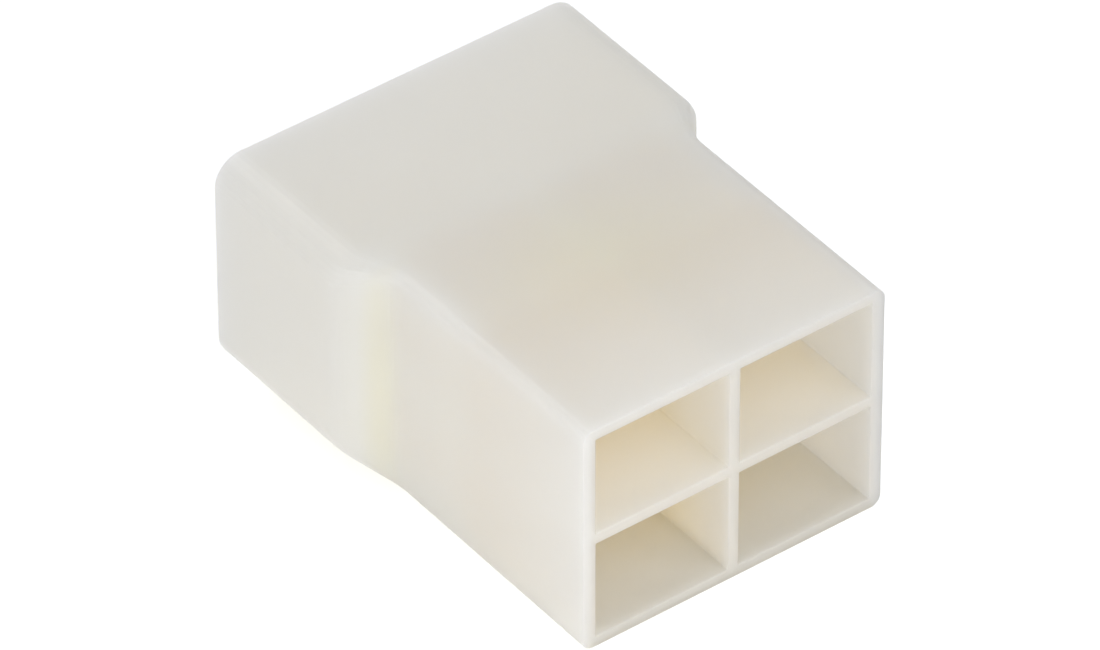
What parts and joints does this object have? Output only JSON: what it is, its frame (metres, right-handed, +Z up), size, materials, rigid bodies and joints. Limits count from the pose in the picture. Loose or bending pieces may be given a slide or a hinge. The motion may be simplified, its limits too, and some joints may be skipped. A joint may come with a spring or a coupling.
{
  "type": "wire to board connector housing",
  "caption": "Translucent nylon plug housing with open wire cells at a narrow end and a wide hood round the blade terminals at the other.",
  "frame": {"origin": "underside of the narrow body's level, under the middle of the housing's box", "axes": "+Y from the wire entry face towards the hood mouth, +X across, +Z up from the underside of the narrow body to the flush top"},
  "size_m": [0.022, 0.0272, 0.0137],
  "materials": {
    "nylon": "natural unfilled nylon, milky and translucent, with a soft satin moulded surface"
  },
  "bodies": {
    "root": {"housing": "nylon"}
  },
  "joints": []
}
